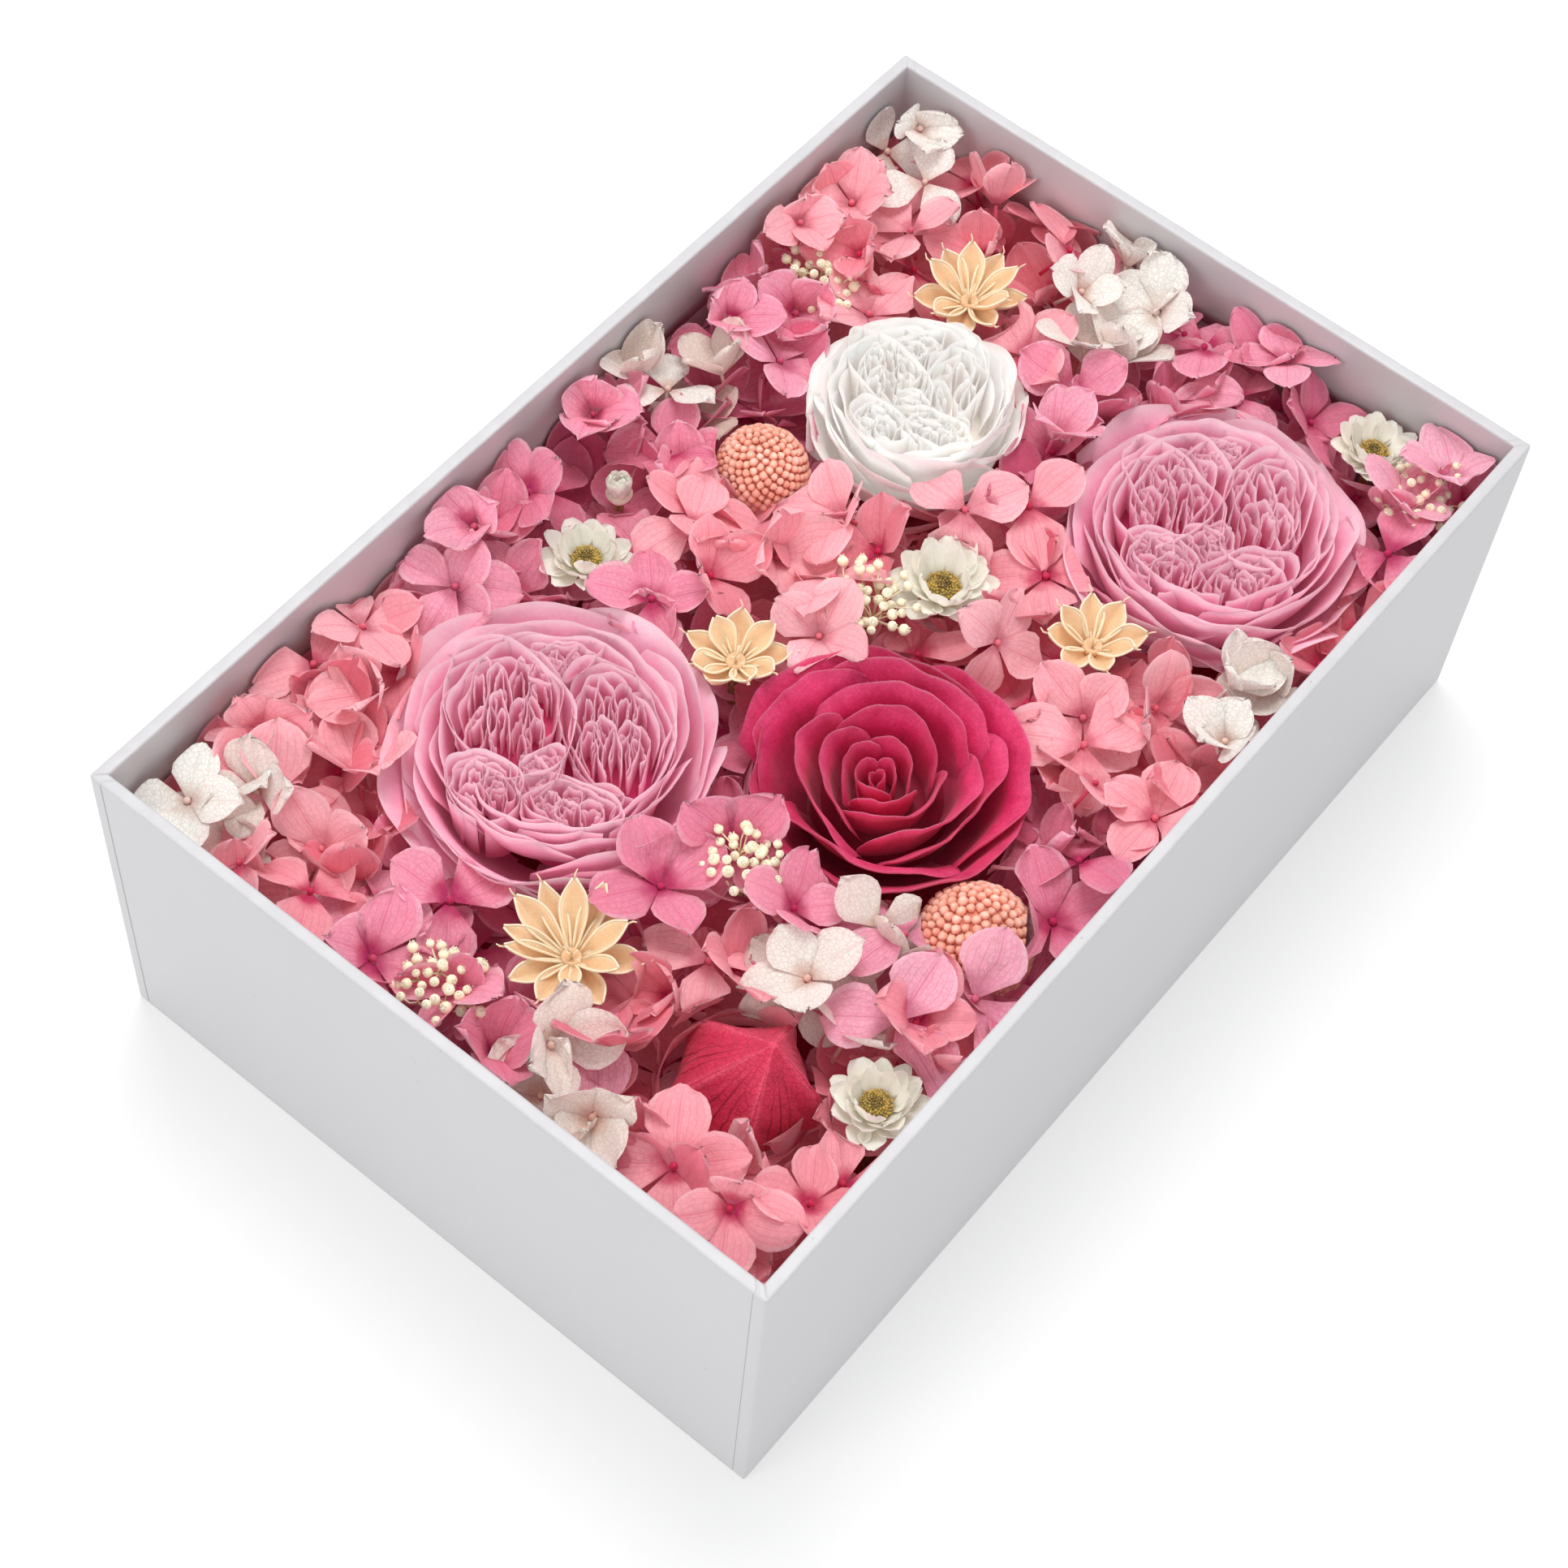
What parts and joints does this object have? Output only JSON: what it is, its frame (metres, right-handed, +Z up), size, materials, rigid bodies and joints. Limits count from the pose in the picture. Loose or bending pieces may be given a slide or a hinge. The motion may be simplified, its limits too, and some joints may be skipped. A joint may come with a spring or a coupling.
{
  "type": "flower box",
  "caption": "Open rectangular white paper-covered board tray, filled to just below the rim with preserved roses, hydrangea florets and small dried flowers set in foam.",
  "frame": {"origin": "centre of the tray's underside", "axes": "+Z up out of the open tray, +Y along its length, +X across its width"},
  "size_m": [0.148, 0.225, 0.078],
  "materials": {
    "cream_bud": "dry",
    "dry_stem": "dry",
    "greyboard": "matt",
    "base_paper": "matt",
    "peach_floret": "knobbly",
    "stay_tape": "matt",
    "cover_paper": "pearl satin",
    "daisy_white": "papery",
    "floral_foam": "fine open grain",
    "hot_glue": "milky",
    "hot_pink_petal": "soft waxy petal",
    "light_pink_petal": "soft waxy petal",
    "lining_paper": "satin",
    "berry_skin": "smooth skin",
    "red_husk": "veined, papery",
    "green_stem": "dry",
    "pink_sepal": "thin, veined",
    "calyx_green": "dry leaf",
    "dry_pod": "dry, cream rims",
    "white_sepal": "thin, veined",
    "white_petal": "soft waxy petal"
  },
  "bodies": {
    "root": {"babys_breath_centre": "cream_bud", "babys_breath_corner": "cream_bud", "babys_breath_front": "cream_bud", "babys_breath_middle": "cream_bud", "babys_breath_rear": "cream_bud", "babys_breath_stems": "dry_stem", "base_board": "greyboard", "base_paper": "base_paper", "billy_button_front": "peach_floret", "billy_button_rear": "peach_floret", "billy_button_stems": "dry_stem", "corner_stays": "stay_tape", "cover_paper": "cover_paper", "daisy_bud": "daisy_white", "daisy_centre": "daisy_white", "daisy_front": "daisy_white", "daisy_left": "daisy_white", "daisy_rear": "daisy_white", "daisy_stems": "dry_stem", "floral_foam": "floral_foam", "front_wall_board": "greyboard", "glue_dabs": "hot_glue", "hot_pink_rose": "hot_pink_petal", "left_wall_board": "greyboard", "light_pink_rose_front": "light_pink_petal", "light_pink_rose_rear": "light_pink_petal", "lining_paper": "lining_paper", "physalis_berry": "berry_skin", "physalis_husk": "red_husk", "physalis_stem": "green_stem", "pink_hydrangea_1": "pink_sepal", "pink_hydrangea_10": "pink_sepal", "pink_hydrangea_2": "pink_sepal", "pink_hydrangea_3": "pink_sepal", "pink_hydrangea_4": "pink_sepal", "pink_hydrangea_5": "pink_sepal", "pink_hydrangea_6": "pink_sepal", "pink_hydrangea_7": "pink_sepal", "pink_hydrangea_8": "pink_sepal", "pink_hydrangea_9": "pink_sepal", "pink_hydrangea_stems": "green_stem", "rear_wall_board": "greyboard", "right_wall_board": "greyboard", "rose_calyxes": "calyx_green", "rose_stems": "green_stem", "seed_pod_front": "dry_pod", "seed_pod_left": "dry_pod", "seed_pod_rear": "dry_pod", "seed_pod_right": "dry_pod", "seed_pod_stems": "dry_stem", "white_hydrangea_1": "white_sepal", "white_hydrangea_2": "white_sepal", "white_hydrangea_3": "white_sepal", "white_hydrangea_4": "white_sepal", "white_hydrangea_5": "white_sepal", "white_hydrangea_6": "white_sepal", "white_hydrangea_7": "white_sepal", "white_hydrangea_stems": "green_stem", "white_rose": "white_petal"}
  },
  "joints": []
}
